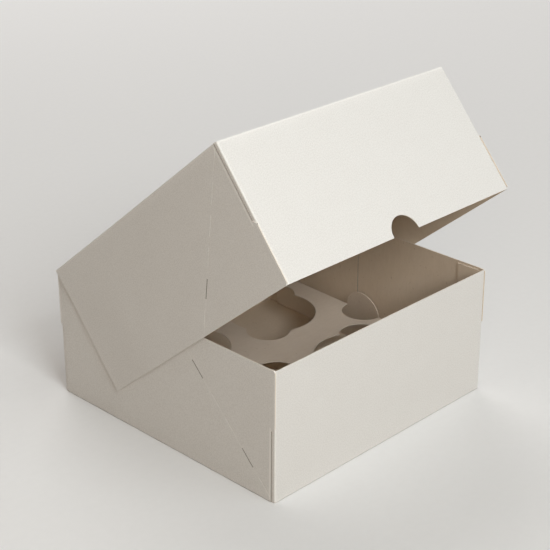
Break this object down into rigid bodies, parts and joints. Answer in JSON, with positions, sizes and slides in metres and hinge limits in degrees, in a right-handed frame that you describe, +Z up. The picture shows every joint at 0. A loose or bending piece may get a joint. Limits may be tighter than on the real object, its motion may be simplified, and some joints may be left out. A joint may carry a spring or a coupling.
{
  "type": "cupcake box",
  "caption": "Folded white board box for cupcakes, with a hinged lid standing half open and a folded insert that holds the cakes apart.",
  "frame": {"origin": "middle of the tray's underside, on the surface that the box stands on", "axes": "+Z up, -Y towards the front wall, +X to the right as seen from the front; the lid's hinge runs along X at the top of the back wall"},
  "size_m": [0.1678, 0.175, 0.1803],
  "materials": {
    "white_board": "satin, finely pearled white outer side",
    "insert_board": "matt uncoated board"
  },
  "bodies": {
    "tray": {"tray": "white_board", "insert": "insert_board"},
    "lid": {"lid": "white_board"}
  },
  "joints": [
    {"name": "lid_hinge", "type": "hinge", "parent": "tray", "child": "lid", "pos_m": [0, 0.08225, 0.0746], "axis": [-1, 0, 0], "range_deg": [-39.65, 140.35]}
  ]
}
